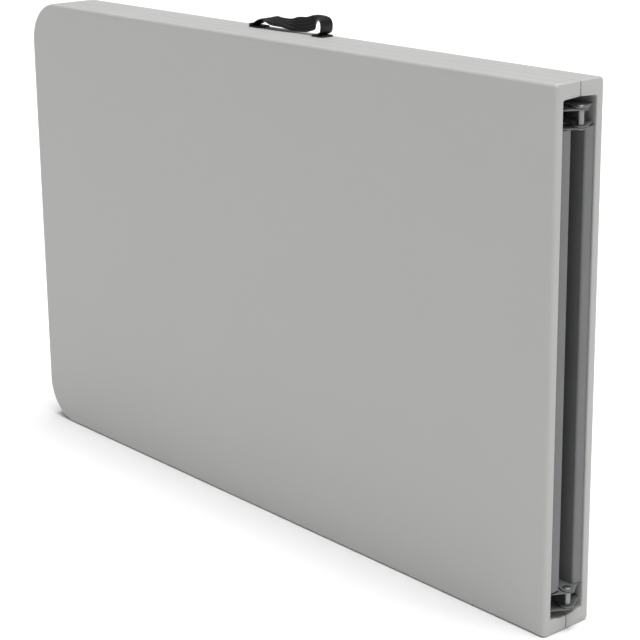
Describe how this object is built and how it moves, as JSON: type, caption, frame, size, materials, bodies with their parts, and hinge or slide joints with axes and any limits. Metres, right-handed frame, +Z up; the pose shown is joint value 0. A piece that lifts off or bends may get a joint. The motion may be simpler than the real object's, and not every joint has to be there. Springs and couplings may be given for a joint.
{
  "type": "folding table",
  "caption": "Fold-in-half moulded table, closed and standing on its long edge, with hinged halves, folding leg frames, braces and a strap handle.",
  "frame": {"origin": "centre of the footprint, on the floor under the long edge the closed table stands on; in Y it is the plane between the two halves", "axes": "+X towards the fold, +Y from the half without the handle to the half with it, +Z up along the width of the table top"},
  "size_m": [1.229, 0.092, 0.7925],
  "materials": {
    "moulded_plastic": "fine grained, light gray",
    "gray_steel": "smooth gray powder coat",
    "zinc_steel": "plain zinc",
    "black_plastic": "matte black",
    "strap": "matte black, flexible"
  },
  "bodies": {
    "half_a": {"a_top": "moulded_plastic", "a_side_rail_low": "gray_steel", "a_side_rail_high": "gray_steel", "a_cross_rail": "gray_steel", "a_leg_bracket_low": "gray_steel", "a_leg_bracket_high": "gray_steel", "a_brace_bracket": "gray_steel", "a_brace_pin": "zinc_steel", "a_leg_clips": "black_plastic", "a_screws": "zinc_steel", "hinge_pin_low": "zinc_steel", "hinge_pin_high": "zinc_steel", "hinge_spacer_low": "gray_steel", "hinge_spacer_high": "gray_steel"},
    "half_b": {"b_top": "moulded_plastic", "b_side_rail_low": "gray_steel", "b_side_rail_high": "gray_steel", "b_cross_rail": "gray_steel", "b_leg_bracket_low": "gray_steel", "b_leg_bracket_high": "gray_steel", "b_brace_bracket": "gray_steel", "b_brace_pin": "zinc_steel", "b_leg_clips": "black_plastic", "b_screws": "zinc_steel", "handle_strap": "strap", "handle_feet": "black_plastic", "handle_screws": "zinc_steel"},
    "legs_a": {"a_pivot_tube": "gray_steel", "a_leg_tube_low": "gray_steel", "a_leg_tube_high": "gray_steel", "a_brace_bar": "gray_steel", "a_stretcher": "gray_steel", "a_foot_caps": "black_plastic"},
    "legs_b": {"b_pivot_tube": "gray_steel", "b_leg_tube_low": "gray_steel", "b_leg_tube_high": "gray_steel", "b_brace_bar": "gray_steel", "b_stretcher": "gray_steel", "b_foot_caps": "black_plastic"},
    "upper_brace_a": {"a_upper_link": "gray_steel"},
    "upper_brace_b": {"b_upper_link": "gray_steel"},
    "lower_brace_a": {"a_lower_link": "gray_steel"},
    "lower_brace_b": {"b_lower_link": "gray_steel"}
  },
  "joints": [
    {"name": "fold", "type": "hinge", "parent": "half_a", "child": "half_b", "pos_m": [0.6045, 0, 0.381], "axis": [0, 0, -1], "range_deg": [0, 180]},
    {"name": "legs_a_swing", "type": "hinge", "parent": "half_a", "child": "legs_a", "pos_m": [-0.4955, -0.0165, 0.381], "axis": [0, 0, 1], "range_deg": [0, 90]},
    {"name": "upper_brace_a_swing", "type": "hinge", "parent": "half_a", "child": "upper_brace_a", "pos_m": [0.0645, -0.025, 0.358], "axis": [0, 0, -1], "range_deg": [0, 31.02]},
    {"name": "lower_brace_a_swing", "type": "hinge", "parent": "legs_a", "child": "lower_brace_a", "pos_m": [-0.1655, -0.0135, 0.362], "axis": [0, 0, 1], "range_deg": [0, 55.9]},
    {"name": "legs_b_swing", "type": "hinge", "parent": "half_b", "child": "legs_b", "pos_m": [-0.4955, 0.0165, 0.381], "axis": [0, 0, -1], "range_deg": [0, 90]},
    {"name": "upper_brace_b_swing", "type": "hinge", "parent": "half_b", "child": "upper_brace_b", "pos_m": [0.0645, 0.025, 0.404], "axis": [0, 0, 1], "range_deg": [0, 31.02]},
    {"name": "lower_brace_b_swing", "type": "hinge", "parent": "legs_b", "child": "lower_brace_b", "pos_m": [-0.1655, 0.0135, 0.4], "axis": [0, 0, -1], "range_deg": [0, 55.9]}
  ],
  "couplings": [
    {"joint": "legs_a_swing", "follows": "fold", "ratio": 0.5},
    {"joint": "upper_brace_a_swing", "follows": "fold", "ratio": 0.17231},
    {"joint": "lower_brace_a_swing", "follows": "fold", "ratio": 0.31054},
    {"joint": "legs_b_swing", "follows": "fold", "ratio": 0.5},
    {"joint": "upper_brace_b_swing", "follows": "fold", "ratio": 0.17231},
    {"joint": "lower_brace_b_swing", "follows": "fold", "ratio": 0.31054}
  ]
}
